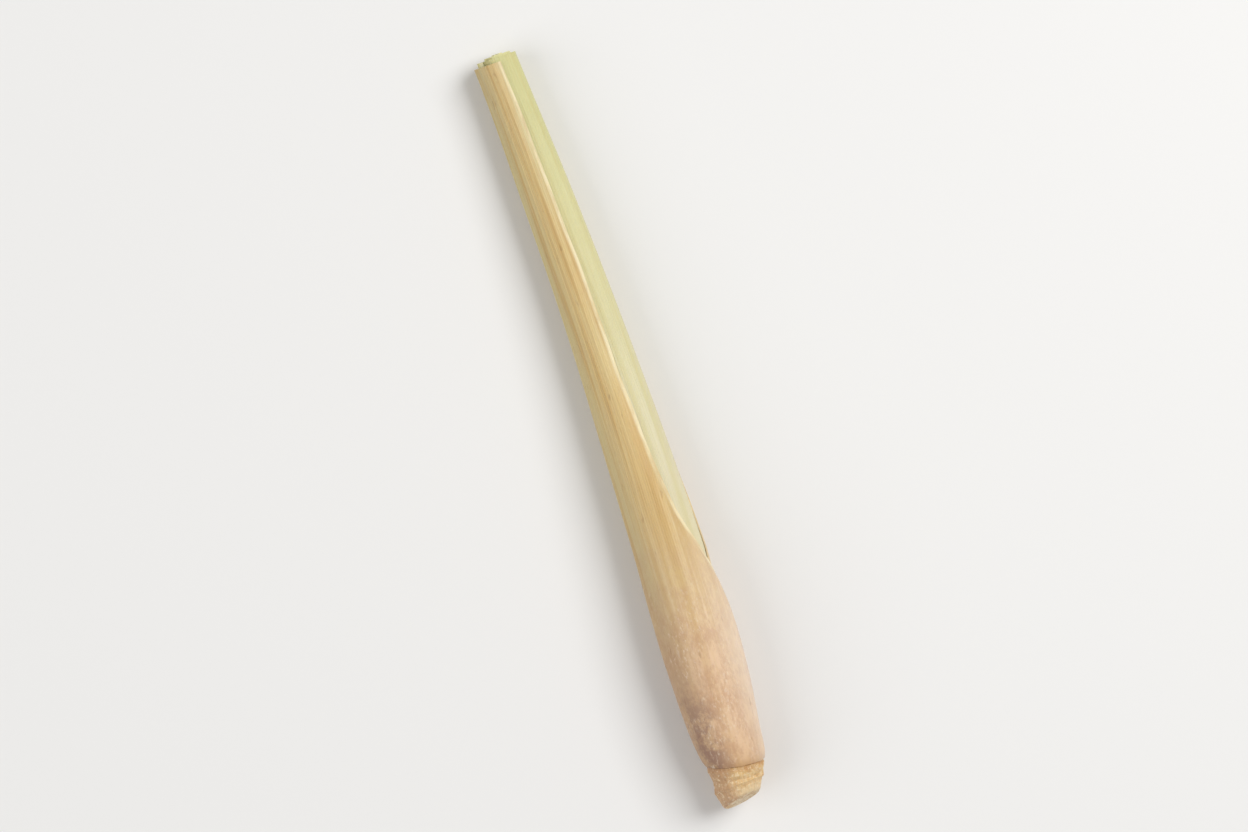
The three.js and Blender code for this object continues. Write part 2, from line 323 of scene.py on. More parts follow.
@dataclass(frozen=True)
class Roll:
    """The sheaths nested round one another, from the oldest to the youngest."""

    form: StalkForm
    sheaths: tuple[Sheath, ...]
    gap: float = 0.15
    skin_inset: float = 0.045
    tuck_wall: float = 0.62
    lip_reach: float = 40.0
    calm_by_lip: float = 0.45
    wave_grows_over: float = 8.0

    def tuck_depth(self, layer: int, angle: Array, along: Array) -> Array:
        """How deep a sheath's tucked margin reaches into what lies below it."""
        return self.sheaths[layer].tuck_bed(along, angle) * (self.gap + self.tuck_wall)

    def base(self, layer: int, angle: Array, along: Array) -> Array:
        """Radius that a layer is wrapped on, before a margin is pressed into it.

        Args:
            layer: 0 for the oldest sheath, and one past the youngest for the heart.
            angle: angles round the stalk.
            along: places from the root end.

        Returns:
            The radius at each of them.
        """
        if layer == 0:
            return self.form.outside(angle, along)
        above = self.sheaths[layer - 1]
        given = 0.0 if above.pressed_in else self.tuck_depth(layer - 1, angle, along)
        return self.base(layer - 1, angle, along) - above.wall(along) - given - self.gap

    def outside(self, layer: int, angle: Array, along: Array) -> Array:
        """Outside radius of a layer.

        Args:
            layer: 0 for the oldest sheath, and one past the youngest for the heart.
            angle: angles round the stalk.
            along: places from the root end.

        Returns:
            The radius at each of them.
        """
        pressed = layer > 0 and self.sheaths[layer - 1].pressed_in
        given = self.tuck_depth(layer - 1, angle, along) if pressed else 0.0
        return self.base(layer, angle, along) - given

    def surfaces(self, layer: int, along: Array, unrolled: Array) -> tuple[Array, Array, Array]:
        """The two faces of a rolled sheath.

        Args:
            layer: 0 for the oldest sheath.
            along: places from the root end.
            unrolled: degrees from the outer margin, round to the inner one.

        Returns:
            The angle round the stalk, the outside radius and the inside radius.
        """
        sheath = self.sheaths[layer]
        wall, relief = sheath.wall(along), sheath.relief
        near_lip = 1 - smooth(unrolled / self.lip_reach)
        grown = smooth((along - sheath.start) / self.wave_grows_over)
        angle = sheath.lip(along) - unrolled + relief.margin(along) * near_lip * grown
        rim = self.outside(layer, angle, along)
        floor = self.base(layer, angle, along) - wall
        step = sheath.tuck_step(along, unrolled)
        span = FULL_TURN + sheath.overlap(along)
        spare = wall - sheath.lip_wall
        at_lip = (1 - smooth(unrolled / sheath.ease_in_lip)) * spare
        at_end = (1 - smooth((span - unrolled) / sheath.ease_in_lip)) * spare
        thinned = np.maximum(at_lip, at_end * (1 - sheath.tucked(along)))
        relieved = relief.depth(angle, along) * (1 - self.calm_by_lip * near_lip)
        pressed = (relieved + self.skin_inset) * (1 - step)
        outside = rim - thinned - step * (rim - floor + self.gap) - pressed
        inside = floor - step * (self.gap + self.tuck_wall)
        return angle, outside, inside


def tint(code: str) -> tuple[float, float, float, float]:
    """A colour written as six hex digits, as the linear values that shaders take.

    Args:
        code: red, green and blue as they look on a screen, two digits each.

    Returns:
        Linear red, green and blue, and a full alpha.
    """
    parts = [int(code[i:i + 2], 16) / 255 for i in (0, 2, 4)]
    linear = [
        part / 12.92 if part <= 0.04045 else ((part + 0.055) / 1.055) ** 2.4 for part in parts
    ]
    return (*linear, 1.0)


@dataclass(frozen=True)
class Texture:
    """A soft noise: how fine and rough it is, how it is drawn out and where patches fade in."""

    scale: float = 1.0
    detail: float = 2.0
    rough: float = 0.5
    drawn: Triple | None = None
    edge: Span = (0.0, 1.0)


VEIN_SWAY = Texture(detail=1.0, drawn=(3.0, 9.0, 1.0))
VEIN_PATCHES = Texture(drawn=(60.0, 7.0, 1.0), edge=(0.3, 0.65))
FINE_STREAKS = Texture(detail=3.0, rough=0.6, drawn=(150.0, 5.0, 1.0))
WIDE_STREAKS = Texture(rough=0.55, drawn=(21.0, 2.2, 1.0))
GLOW_PATCHES = Texture(drawn=(9.0, 4.0, 1.0), edge=(0.3, 0.6))
WORN_LIP = Texture(detail=3.0, rough=0.6, drawn=(16.0, 13.0, 1.0), edge=(0.36, 0.6))
BLOOM_CLOUDS = Texture(190.0, 3.0, 0.6, drawn=(0.5, 1.0, 1.0), edge=(0.42, 0.62))
SKIN_GRAIN = Texture(1900.0, 3.0, 0.65, drawn=(0.5, 1.0, 1.0), edge=(0.5, 0.72))
BLOTCHES = Texture(420.0, 3.0, 0.6, drawn=(0.55, 1.0, 1.0))
FUZZ = Texture(1900.0, 4.0, 0.8, drawn=(0.42, 1.0, 1.0))
SPOTS = Texture(900.0, 2.0, 0.6, drawn=(0.3, 1.0, 1.0), edge=(0.66, 0.76))
# Patches of mauve-brown on the bulb's shaded +Y side: partly blotchy tone, partly painted shade.
STAIN_AND_SHADE_PATCHES = Texture(230.0, 5.0, 0.75, edge=(0.4, 0.6))
PITH = Texture(900.0, 3.0, 0.6, edge=(0.35, 0.65))
STUB_STAINS = Texture(420.0, 3.0, 0.6, edge=(0.5, 0.68))
STUB_FIBRES = Texture(detail=3.0, rough=0.6, drawn=(120.0, 60.0, 1.0), edge=(0.48, 0.68))
CRUMBS = Texture(1700.0, 4.0, 0.75, edge=(0.52, 0.68))


class Graph:
    """Adds nodes to one material or node group and links them."""

    mix_first: int = 6
    mix_second: int = 7
    mix_result: int = 2

    def __init__(self, tree: bpy.types.NodeTree) -> None:
        """Keeps the tree that the nodes are added to."""
        self.tree = tree

    def feed(self, socket: Socket, value: Value) -> None:
        """Links another socket into one, or sets its value.

        Args:
            socket: the input.
            value: a socket, a number, a vector or a colour's six hex digits.
        """
        if isinstance(value, Socket):
            self.tree.links.new(value, socket)
        else:
            socket.default_value = tint(value) if isinstance(value, str) else value

    def node(self, kind: str, inputs: dict[str | int, Value], **settings: object) -> Outputs:
        """Adds a node.

        Args:
            kind: the node's type.
            inputs: what goes into its inputs, by their names or numbers.
            settings: its own properties, made before the inputs are fed.

        Returns:
            The node's outputs.
        """
        node = self.tree.nodes.new(kind)
        for name, value in settings.items():
            setattr(node, name, value)
        for name, value in inputs.items():
            self.feed(node.inputs[name], value)
        return node.outputs

    def math(self, operation: str, first: Value, second: Value = 0.0) -> Socket:
        """The result of a sum on two values."""
        return self.node("ShaderNodeMath", {0: first, 1: second}, operation=operation)[0]

    def times(self, first: Value, *others: Value) -> Socket:
        """The product of several values."""
        return reduce(lambda product, other: self.math("MULTIPLY", product, other), others, first)

    def plus(self, first: Value, *others: Value) -> Socket:
        """The sum of several values."""
        return reduce(lambda total, other: self.math("ADD", total, other), others, first)

    def span(
        self, value: Value, low: float, high: float, to_low: float = 0.0, to_high: float = 1.0
    ) -> Socket:
        """A value eased from one range to another and held at its ends.

        Args:
            value: the value.
            low: where the first range starts; it may lie above its end.
            high: where it ends.
            to_low: what the start becomes.
            to_high: what the end becomes.

        Returns:
            The eased value.
        """
        ends = {"From Min": low, "From Max": high, "To Min": to_low, "To Max": to_high}
        settings = {"interpolation_type": "SMOOTHSTEP"}
        return self.node("ShaderNodeMapRange", {"Value": value, **ends}, **settings)["Result"]

    def mix(self, share: Value, first: Value, second: Value) -> Socket:
        """A colour between two others."""
        inputs = {"Factor": share, self.mix_first: first, self.mix_second: second}
        return self.node("ShaderNodeMix", inputs, data_type="RGBA")[self.mix_result]

    def ramp(self, value: Socket, stops: Stops) -> Socket:
        """A colour that changes through several stops.

        Args:
            value: where between the stops each point is.
            stops: places from 0 to 1, each with its colour.

        Returns:
            The colour.
        """
        node = self.tree.nodes.new("ShaderNodeValToRGB")
        items = node.color_ramp.elements
        while len(items) < len(stops):
            items.new(0.5)
        for item, (place, code) in zip(items, stops):
            item.position = place
            item.color = tint(code)
        self.feed(node.inputs["Fac"], value)
        return node.outputs["Color"]

    def parts(self, vector: Socket) -> tuple[Socket, ...]:
        """The X, Y and Z of a vector."""
        return tuple(self.node("ShaderNodeSeparateXYZ", {0: vector}))

    def stretch(self, vector: Socket, scale: Triple) -> Socket:
        """A coordinate scaled by its own number in each direction."""
        return self.node("ShaderNodeMapping", {"Vector": vector, "Scale": scale})["Vector"]

    def noise(self, vector: Socket, texture: Texture) -> Socket:
        """A texture's noise over a coordinate.

        Args:
            vector: the coordinate.
            texture: the noise.

        Returns:
            Its value, from 0 to 1.
        """
        inputs = {
            "Vector": self.stretch(vector, texture.drawn) if texture.drawn else vector,
            "Scale": texture.scale,
            "Detail": texture.detail,
            "Roughness": texture.rough,
        }
        return self.node("ShaderNodeTexNoise", inputs)["Fac"]

    def patches(self, vector: Socket, texture: Texture, *ends: float) -> Socket:
        """Where a texture's patches are: from 0 to 1, or between the two ends that are given."""
        return self.span(self.noise(vector, texture), *texture.edge, *ends)

    def uv(self, name: str) -> Socket:
        """One of the piece's UV maps."""
        return self.node("ShaderNodeUVMap", {}, uv_map=name)["UV"]

    def place(self) -> Socket:
        """The piece's Object coordinates, in metres."""
        return self.node("ShaderNodeTexCoord", {})["Object"]

    def shared(self, group: bpy.types.NodeTree, **inputs: Value) -> Outputs:
        """The outputs of a shared group that is placed here with its own values."""
        return self.node("ShaderNodeGroup", inputs, node_tree=group)


class SharedGroup(Graph):
    """A shader node group with named inputs and outputs."""

    def __init__(self, name: str, outputs: tuple[str, ...], **inputs: float | None) -> None:
        """Starts the group.

        Args:
            name: the group's name.
            outputs: names of its outputs, which are all values.
            inputs: the default of each input that is a value, or None for a coordinate.
        """
        super().__init__(bpy.data.node_groups.new(name, "ShaderNodeTree"))
        for label, value in inputs.items():
            kind = "NodeSocketVector" if value is None else "NodeSocketFloat"
            socket = self.tree.interface.new_socket(label, in_out="INPUT", socket_type=kind)
            if value is not None:
                socket.default_value = value
        for label in outputs:
            self.tree.interface.new_socket(label, in_out="OUTPUT", socket_type="NodeSocketFloat")
        self.inputs = self.tree.nodes.new("NodeGroupInput").outputs
        self.ends = self.tree.nodes.new("NodeGroupOutput").inputs

    def give(self, **values: Socket) -> bpy.types.NodeTree:
        """Links values into the group's outputs.

        Args:
            values: a socket for each output.

        Returns:
            The group, ready to be placed.
        """
        for label, value in values.items():
            self.feed(self.ends[label], value)
        return self.tree


class Effects:
    """The surface effects that several finishes share, each built once as a node group."""

    vein_wander: float = 1.6
    fine_streak_share: float = 0.3
    streak_edge: Span = (0.45, 0.6)
    fine_height: float = 0.8
    mottle_edge: Span = (0.4, 0.62)
    along_the_grain: Triple = (0.1, 1.0, 1.0)
    dot_edge: Span = (0.42, 0.2)

    def __init__(self) -> None:
        """Builds the groups."""
        self.veins = self.build_veins()
        self.bloom = self.build_bloom()
        self.dots = self.build_dots()

    def build_veins(self) -> bpy.types.NodeTree:
        """Parallel veins and longer streaks that run along a sheath.

        Returns:
            The group.
        """
        outputs = ("Vein", "Streak", "Height")
        graph = SharedGroup("lengthwise_veins", outputs, Grain=None, Count=90.0)
        sheet, count = graph.inputs["Grain"], graph.inputs["Count"]
        turn, _, _ = graph.parts(sheet)
        sway = graph.times(graph.noise(sheet, VEIN_SWAY), self.vein_wander)
        wave = graph.math("SINE", graph.times(graph.plus(graph.times(turn, count), sway), math.tau))
        ridge = graph.plus(graph.times(wave, 0.5), 0.5)
        fine, wide = graph.noise(sheet, FINE_STREAKS), graph.noise(sheet, WIDE_STREAKS)
        streak = graph.plus(
            graph.times(fine, self.fine_streak_share), graph.times(wide, 1 - self.fine_streak_share)
        )
        return graph.give(
            Vein=graph.times(ridge, graph.patches(sheet, VEIN_PATCHES)),
            Streak=graph.span(streak, *self.streak_edge),
            Height=graph.plus(ridge, graph.times(fine, self.fine_height)),
        )

    def build_bloom(self) -> bpy.types.NodeTree:
        """Pale flecks of waxy bloom, and the fine grain and blotches of the skin.

        Returns:
            The group.
        """
        graph = SharedGroup("waxy_bloom", ("Fleck", "Grain", "Cloud", "Mottle"), Place=None)
        place = graph.inputs["Place"]
        cloud, grain = graph.noise(place, BLOOM_CLOUDS), graph.noise(place, SKIN_GRAIN)
        blotch, fuzz = graph.noise(place, BLOTCHES), graph.noise(place, FUZZ)
        mottle = graph.plus(graph.times(blotch, 0.5), graph.times(fuzz, 0.5))
        clouds = graph.span(cloud, *BLOOM_CLOUDS.edge)
        return graph.give(
            Fleck=graph.times(graph.span(grain, *SKIN_GRAIN.edge), clouds),
            Grain=grain,
            Cloud=cloud,
            Mottle=graph.span(mottle, *self.mottle_edge),
        )

    def build_dots(self) -> bpy.types.NodeTree:
        """The fibre bundles that show as dots on a cut across the grain.

        Returns:
            The group.
        """
        graph = SharedGroup("fibre_dots", ("Dot", "Pith"), Place=None, Scale=2200.0)
        flat = graph.stretch(graph.inputs["Place"], self.along_the_grain)
        inputs = {"Vector": flat, "Scale": graph.inputs["Scale"]}
        cells = graph.node("ShaderNodeTexVoronoi", inputs, feature="F1")
        return graph.give(
            Dot=graph.span(cells["Distance"], *self.dot_edge), Pith=graph.noise(flat, PITH)
        )


class Gloss(Enum):
    """How moist a surface is."""

    DRY = (0.62, 0.0)
    WAXY = (0.44, 0.08)
    MOIST = (0.36, 0.2)

    def __init__(self, roughness: float, coat: float) -> None:
        """Keeps the roughness of the skin and the weight of its clear coat."""
        self.roughness = roughness
        self.coat = coat


@dataclass(frozen=True)
class Finish:
    """What every finish of the stalk shares, with its lengths in metres."""

    name: str
    gloss: Gloss = Gloss.WAXY
    coat_roughness: float = 0.35
    specular: float = 0.4
    translucence: float = 0.12
    scatter: Triple = (1.0, 0.75, 0.35)
    scatter_reach: float = 1.2 * MM
    bump: float = 0.35
    bump_height: float = 0.12 * MM
    uneven_edge: Span = (0.25, 0.75)
    smoother_by: float = 0.08
    rougher_by: float = 0.12

    def start(self) -> tuple[bpy.types.Material, Graph, bpy.types.Node]:
        """Makes the material with its shader's fixed values.

        Returns:
            The material, a graph over its nodes and its Principled shader.
        """
        material = bpy.data.materials.new(self.name)
        material.use_nodes = True
        shader = material.node_tree.nodes["Principled BSDF"]
        shader.inputs["Subsurface Weight"].default_value = self.translucence
        shader.inputs["Subsurface Radius"].default_value = self.scatter
        shader.inputs["Subsurface Scale"].default_value = self.scatter_reach
        shader.inputs["Coat Weight"].default_value = self.gloss.coat
        shader.inputs["Coat Roughness"].default_value = self.coat_roughness
        shader.inputs["Specular IOR Level"].default_value = self.specular
        return material, Graph(material.node_tree), shader

    def finish(
        self, graph: Graph, shader: bpy.types.Node, color: Socket, uneven: Socket, height: Socket
    ) -> None:
        """Links the varied looks into the shader.

        Args:
            graph: the material's graph.
            shader: its Principled shader.
            color: the colour all over the surface.
            uneven: where it is smoother or rougher.
            height: the fine shape that is left to a bump.
        """
        smoothest = self.gloss.roughness - self.smoother_by
        roughest = self.gloss.roughness + self.rougher_by
        roughness = graph.span(uneven, *self.uneven_edge, smoothest, roughest)
        bump = {"Strength": self.bump, "Distance": self.bump_height, "Height": height}
        graph.feed(shader.inputs["Base Color"], color)
        graph.feed(shader.inputs["Roughness"], roughness)
        graph.feed(shader.inputs["Normal"], graph.node("ShaderNodeBump", bump)["Normal"])


@dataclass(frozen=True)
class Dye:
    """A colour laid over another one, and how strongly."""

    code: str
    share: float = 1.0

    def over(self, graph: Graph, color: Socket, *masks: Socket) -> Socket:
        """The colour with this one laid over it, as far as all the masks together allow."""
        return graph.mix(graph.times(self.share, *masks), color, self.code)


@dataclass(frozen=True)
class SheathFinish(Finish):
    """A veined sheath whose colour changes from its foot to its cut end.

    Its spans are shares of the stalk's length, turns from the free margin where they end in
    round, and metres to +Y where they end in across.
    """

    along: Stops = ()
    streak: Dye = Dye("c29c5a", 0.62)
    # An olive, darker tone on the +Y side, which the key light leaves in shade: painted shade.
    shaded_flank: Dye = Dye("c4b684", 0.55)
    glow: Dye = Dye("d6ae68", 0.55)
    mottle: Dye = Dye("be9270", 0.6)
    lip: Dye = Dye("f2e2b8")
    vein: Dye = Dye("a58450", 0.25)
    vein_count: float = 92.0
    bloom: Dye = Dye("eddcc4", 0.5)
    spot: Dye = Dye("8c5c34", 0.0)
    # A darker brown laid on the +Y side, which the key light leaves in shade: painted shade.
    painted_shade: Dye = Dye("b08c68", 0.0)
    # Mauve-brown patches towards the +Y side of the bulb: partly blotchy tone, partly painted shade
    # of the side the key light leaves dark.
    stain_and_shade: Dye = Dye("94705e", 0.0)
    # A paler tone on the -Y side, which faces the key light: painted light.
    painted_light_side: Dye = Dye("eedcc8", 0.0)
    shaft: Span = (0.2, 0.42)
    bulb: Span = (0.44, 0.14)
    shaded_flank_along: Span = (0.12, 0.34)
    shaded_flank_at_foot: float = 0.2
    streak_along: Span = (0.1, 0.4)
    streak_at_foot: float = 0.35
    mottle_on_shaft: float = 0.15
    stain_and_shade_along: Span = (0.2, 0.09)
    # These spans across lay painted shade on the +Y side, which the key light leaves dark, and
    # painted light on the lit -Y side.
    shaded_side_across: Span = (0.0, 0.0062)
    lit_side_across: Span = (-0.0015, -0.0068)
    stain_and_shade_across: Span = (-0.0005, 0.0045)
    glow_round: Span = (0.26, 0.02)
    lip_round: Span = (0.028, 0.01)
    lip_left: Span = (0.25, 0.95)

    def build(self, effects: Effects) -> bpy.types.Material:
        """Makes the sheath's material.

        Args:
            effects: the shared node groups.

        Returns:
            The material.
        """
        material, graph, shader = self.start()
        sheet, grain, place = graph.uv(SHEET_UV), graph.uv(GRAIN_UV), graph.place()
        around, along, _ = graph.parts(sheet)
        _, across, _ = graph.parts(place)
        veins = graph.shared(effects.veins, Grain=grain, Count=self.vein_count)
        skin = graph.shared(effects.bloom, Place=place)
        on_shaft, on_bulb = graph.span(along, *self.shaft), graph.span(along, *self.bulb)
        shaded_side, lit_side = graph.span(across, *self.shaded_side_across), graph.span(across, *self.lit_side_across)
        layers = (
            # Painted shade: an olive tone on the shaded +Y side, weaker towards the foot.
            (self.shaded_flank, shaded_side, graph.span(along, *self.shaded_flank_along, self.shaded_flank_at_foot)),
            (self.glow, graph.span(around, *self.glow_round), on_shaft,
             graph.patches(grain, GLOW_PATCHES)),
            (self.streak, veins["Streak"],
             graph.span(along, *self.streak_along, self.streak_at_foot)),
            (self.vein, veins["Vein"], on_shaft),
            (self.mottle, skin["Mottle"], graph.span(on_bulb, 0.0, 1.0, self.mottle_on_shaft)),
            # Painted light: a paler tone on the lit -Y side of the bulb.
            (self.painted_light_side, lit_side, on_bulb),
            # Painted shade: a darker brown on the shaded +Y side of the bulb.
            (self.painted_shade, shaded_side, on_bulb),
            # Partly painted shade: mauve-brown patches held to the shaded +Y side near the root.
            (self.stain_and_shade, graph.patches(place, STAIN_AND_SHADE_PATCHES), graph.span(across, *self.stain_and_shade_across),
             graph.span(along, *self.stain_and_shade_along)),
            (self.bloom, skin["Fleck"], on_bulb),
            (self.spot, graph.patches(place, SPOTS)),
            (self.lip, graph.span(around, *self.lip_round),
             graph.patches(sheet, WORN_LIP, *self.lip_left)),
        )
        color = graph.ramp(along, self.along)
        for dye, *masks in layers:
            color = dye.over(graph, color, *masks)
        lines = graph.times(veins["Height"], on_shaft)
        height = graph.plus(lines, graph.plus(skin["Grain"], skin["Mottle"]))
        self.finish(graph, shader, color, skin["Cloud"], height)
        return material


@dataclass(frozen=True)
class CutFinish(Finish):
    """A cut across the grain: pale flesh with fibre dots."""

    flesh: str = "efe9cc"
    shade: str = "d9d09a"
    dot: Dye = Dye("b9ad6c", 0.55)
    dot_scale: float = 2200.0
    dot_depth: float = 0.6

    def build(self, effects: Effects) -> bpy.types.Material:
        """Makes the cut's material.

        Args:
            effects: the shared node groups.

        Returns:
            The material.
        """
        material, graph, shader = self.start()
        dots = graph.shared(effects.dots, Place=graph.place(), Scale=self.dot_scale)
        color = graph.mix(graph.span(dots["Pith"], *PITH.edge), self.flesh, self.shade)
        color = self.dot.over(graph, color, dots["Dot"])
        height = graph.math("SUBTRACT", dots["Pith"], graph.times(dots["Dot"], self.dot_depth))
        self.finish(graph, shader, color, dots["Pith"], height)
        return material


@dataclass(frozen=True)
class StubFinish(Finish):
    """The ringed, grainy side of the stem base, coloured by shares of the stub's own length."""

    along: Stops = ()
    stub_share: float = 0.05
    # On the stub these are orange-brown stains in patches, its own colour, with no shade painted.
    stain_and_shade: Dye = Dye("bd8650", 0.5)
    fibre: Dye = Dye("efdcb8", 0.45)
    # A darker orange-brown on the stub's +Y side, which the key light leaves in shade: painted
    # shade.
    painted_shade: Dye = Dye("b2866a", 0.6)
    pit: Dye = Dye("8e623a", 0.5)
    crumb: Dye = Dye("f3e2c0", 0.75)
    shaded_side_across: Span = (0.0008, 0.0042)
    pit_edge: Span = (0.44, 0.28)
    crumb_height: float = 2.0

    def build(self, effects: Effects) -> bpy.types.Material:
        """Makes the stub's material.

        Args:
            effects: the shared node groups.

        Returns:
            The material.
        """
        material, graph, shader = self.start()
        sheet, place = graph.uv(SHEET_UV), graph.place()
        _, share, _ = graph.parts(sheet)
        _, across, _ = graph.parts(place)
        skin = graph.shared(effects.bloom, Place=place)
        fibres, crumbs = graph.noise(sheet, STUB_FIBRES), graph.noise(place, CRUMBS)
        layers = (
            (self.stain_and_shade, graph.patches(place, STUB_STAINS)),
            (self.fibre, graph.span(fibres, *STUB_FIBRES.edge)),
            # Painted shade on the stub's shaded +Y side.
            (self.painted_shade, graph.span(across, *self.shaded_side_across)),
            (self.pit, graph.span(crumbs, *self.pit_edge)),
            (self.crumb, graph.span(crumbs, *CRUMBS.edge)),
        )
        color = graph.ramp(graph.math("DIVIDE", share, self.stub_share), self.along)
        for dye, mask in layers:
            color = dye.over(graph, color, mask)
        height = graph.plus(fibres, graph.times(crumbs, self.crumb_height))
        self.finish(graph, shader, color, skin["Cloud"], height)
        return material


OLD_SHEATH = SheathFinish(
    name="old_sheath",
    along=(
        # The darker first stops at the foot, which overhangs the stub, are painted shade of the
        # groove there, partly the ring's own brown.
        (0.050, "c69d70"), (0.054, "d2ab80"), (0.060, "dcb890"), (0.10, "e2c09c"),
        (0.19, "e2c19c"), (0.30, "dec494"), (0.42, "dcc48e"), (0.62, "dcc890"),
        (0.84, "dacb96"), (1.0, "d4c698"),
    ),
    # Below, the darker +Y side of the bulb and its mauve-brown patches are painted shade, the
    # patches partly blotchy tone, and the paler -Y side is painted light.
    vein=Dye("a58450", 0.15), spot=Dye("8c5c34", 0.3), painted_shade=Dye("b08c68", 0.6),
    stain_and_shade=Dye("94705e", 0.85), painted_light_side=Dye("eedcc8", 0.6),
)
# In the finishes below, the darker tone given for the +Y side is painted shade.
GREEN_SHEATH = SheathFinish(
    name="green_sheath",
    along=((0.07, "e4d8ba"), (0.28, "e2d6ae"), (0.42, "e0d7b6"), (0.7, "dbd4a2"), (1.0, "d2cf94")),
    streak=Dye("d2c688", 0.4), shaded_flank=Dye("cdc494", 0.35), glow=Dye("e0d3a0", 0.3),
    mottle=Dye("cfc28c", 0.2), vein=Dye("b9ae6c", 0.25), vein_count=104.0,
    bloom=Dye("f0ead4", 0.3), lip=Dye("ece4bc"),
)
PALE_SHEATH = SheathFinish(
    name="pale_sheath", gloss=Gloss.MOIST,
    along=((0.09, "ece4cc"), (0.5, "e6dfb2"), (1.0, "dcd89c")),
    streak=Dye("ccc684", 0.2), shaded_flank=Dye("ddd6a6", 0.2), glow=Dye("e6ddb0", 0.2),
    mottle=Dye("d8d0a2", 0.1), vein=Dye("c2bc7c", 0.15), vein_count=80.0,
    bloom=Dye("f2eedc", 0.2), lip=Dye("ece6c8"),
)
HEART_LEAF = SheathFinish(
    name="heart_leaf", gloss=Gloss.MOIST,
    along=((0.13, "efead8"), (0.6, "e9e3c2"), (1.0, "e2deae")),
    streak=Dye("d2cc92", 0.15), shaded_flank=Dye("e4ddb8", 0.1), glow=Dye("e8e1c0", 0.1),
    mottle=Dye("ddd6b0", 0.1), vein=Dye("ccc68c", 0.12), vein_count=40.0,
    bloom=Dye("f4f1e2", 0.15), lip=Dye("eeeacc"),
)
OLD_CUT = CutFinish(
    name="old_sheath_cut", flesh="dccb9a", shade="c8ae76", dot=Dye("a2854c", 0.6),
)
FRESH_CUT = CutFinish(name="fresh_cut", gloss=Gloss.MOIST)
ROOT_CUT = CutFinish(
    name="root_cut", gloss=Gloss.DRY, bump=0.6,
    flesh="fce8c8", shade="e4c092", dot=Dye("ab8152", 0.4), dot_scale=2100.0,
)
STUB_SIDE = StubFinish(
    name="stem_base", gloss=Gloss.DRY, bump=0.6,
    along=(
        # The darker last stops, at the stub's top under the sheath's overhanging foot, are painted
        # shade, partly the ring's own brown.
        (0.0, "e8cea4"), (0.25, "e3c08c"), (0.45, "dfba84"), (0.7, "e3c08a"), (0.82, "dcb67e"),
        (0.91, "c9a06c"), (1.0, "bf945f"),
    ),
)


class Palette:
    """The skin and the cut of every material slot, with each material built once."""

    finishes: dict[str, tuple[Finish, Finish]] = {
        "old_sheath": (OLD_SHEATH, OLD_CUT),
        "green_sheath": (GREEN_SHEATH, FRESH_CUT),
        "pale_sheath": (PALE_SHEATH, FRESH_CUT),
        "heart_leaf": (HEART_LEAF, FRESH_CUT),
        "stem_base": (STUB_SIDE, ROOT_CUT),
    }

    def __init__(self) -> None:
        """Builds the shared effects; the materials follow as they are asked for."""
        self.effects = Effects()
        self.materials: dict[str, bpy.types.Material] = {}

    def dress(self, piece: bpy.types.Object, slot: str) -> None:
        """Gives a piece its skin, and after it the finish of its cut.

        Args:
            piece: the object, whose cut faces have material number 1.
            slot: the record's material slot.
        """
        for finish in self.finishes[slot]:
            if finish.name not in self.materials:
                self.materials[finish.name] = finish.build(self.effects)
            piece.data.materials.append(self.materials[finish.name])


def face_outwards(bm: bmesh.types.BMesh) -> None:
    """Points every face of a closed piece outwards, which makes its signed volume positive.

    Args:
        bm: the piece's mesh.
    """
    bmesh.ops.recalc_face_normals(bm, faces=bm.faces[:])
    if bm.calc_volume(signed=True) < 0:
        bmesh.ops.reverse_faces(bm, faces=bm.faces[:])


def write_uv(bm: bmesh.types.BMesh, name: str, turns: Array, places: Array) -> None:
    """Gives every face corner its turn round the stalk and its place along it as a UV.

    Args:
        bm: the mesh, with its vertex indices up to date.
        name: the UV map's name.
        turns: whole turns for each vertex index.
        places: share of the stalk's length for each vertex index.
    """
    layer = bm.loops.layers.uv.new(name)
    half = 0.5
    for face in bm.faces:
        around = [turns[v.index] for v in face.verts]
        crosses = max(around) - min(around) > half
        for loop, turn in zip(face.loops, around):
            lift = 1.0 if crosses and turn < half else 0.0
            loop[layer].uv = (turn + lift, places[loop.vert.index])


@dataclass
class FinePiece:
    """What the finer pieces share: the roll that they belong to, their place and their looks."""

    roll: Roll
    centre: Vector
    palette: Palette

    def put(self, bm: bmesh.types.BMesh, along: Array, radius: Array, angle: Array) -> None:
        """Moves every vertex to its point of the bowed stalk.

        Args:
            bm: the mesh.
            along: the place along the stalk of each vertex, in millimetres.
            radius: its distance from the middle of the section.
            angle: its angle round the section, in degrees.
        """
        points = self.roll.form.place(along, radius, angle) * MM
        for vert, point in zip(bm.verts, points):
            vert.co = Vector(point) + self.centre

    def finish(self, bm: bmesh.types.BMesh, node: str, slot: str) -> bpy.types.Object:
        """Makes a closed mesh an object that stands for its node, and dresses it.

        Args:
            bm: the mesh, in metres; it is freed.
            node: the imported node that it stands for.
            slot: the record's material slot.

        Returns:
            The finished object, at the origin.
        """
        face_outwards(bm)
        mesh = bpy.data.meshes.new(node + "_fine")
        for face in bm.faces:
            face.smooth = True
        bm.to_mesh(mesh)
        bm.free()
        piece = bpy.data.objects.new(mesh.name, mesh)
        bpy.context.scene.collection.objects.link(piece)
        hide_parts(node)
        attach(piece, "root")
        self.palette.dress(piece, slot)
        return piece


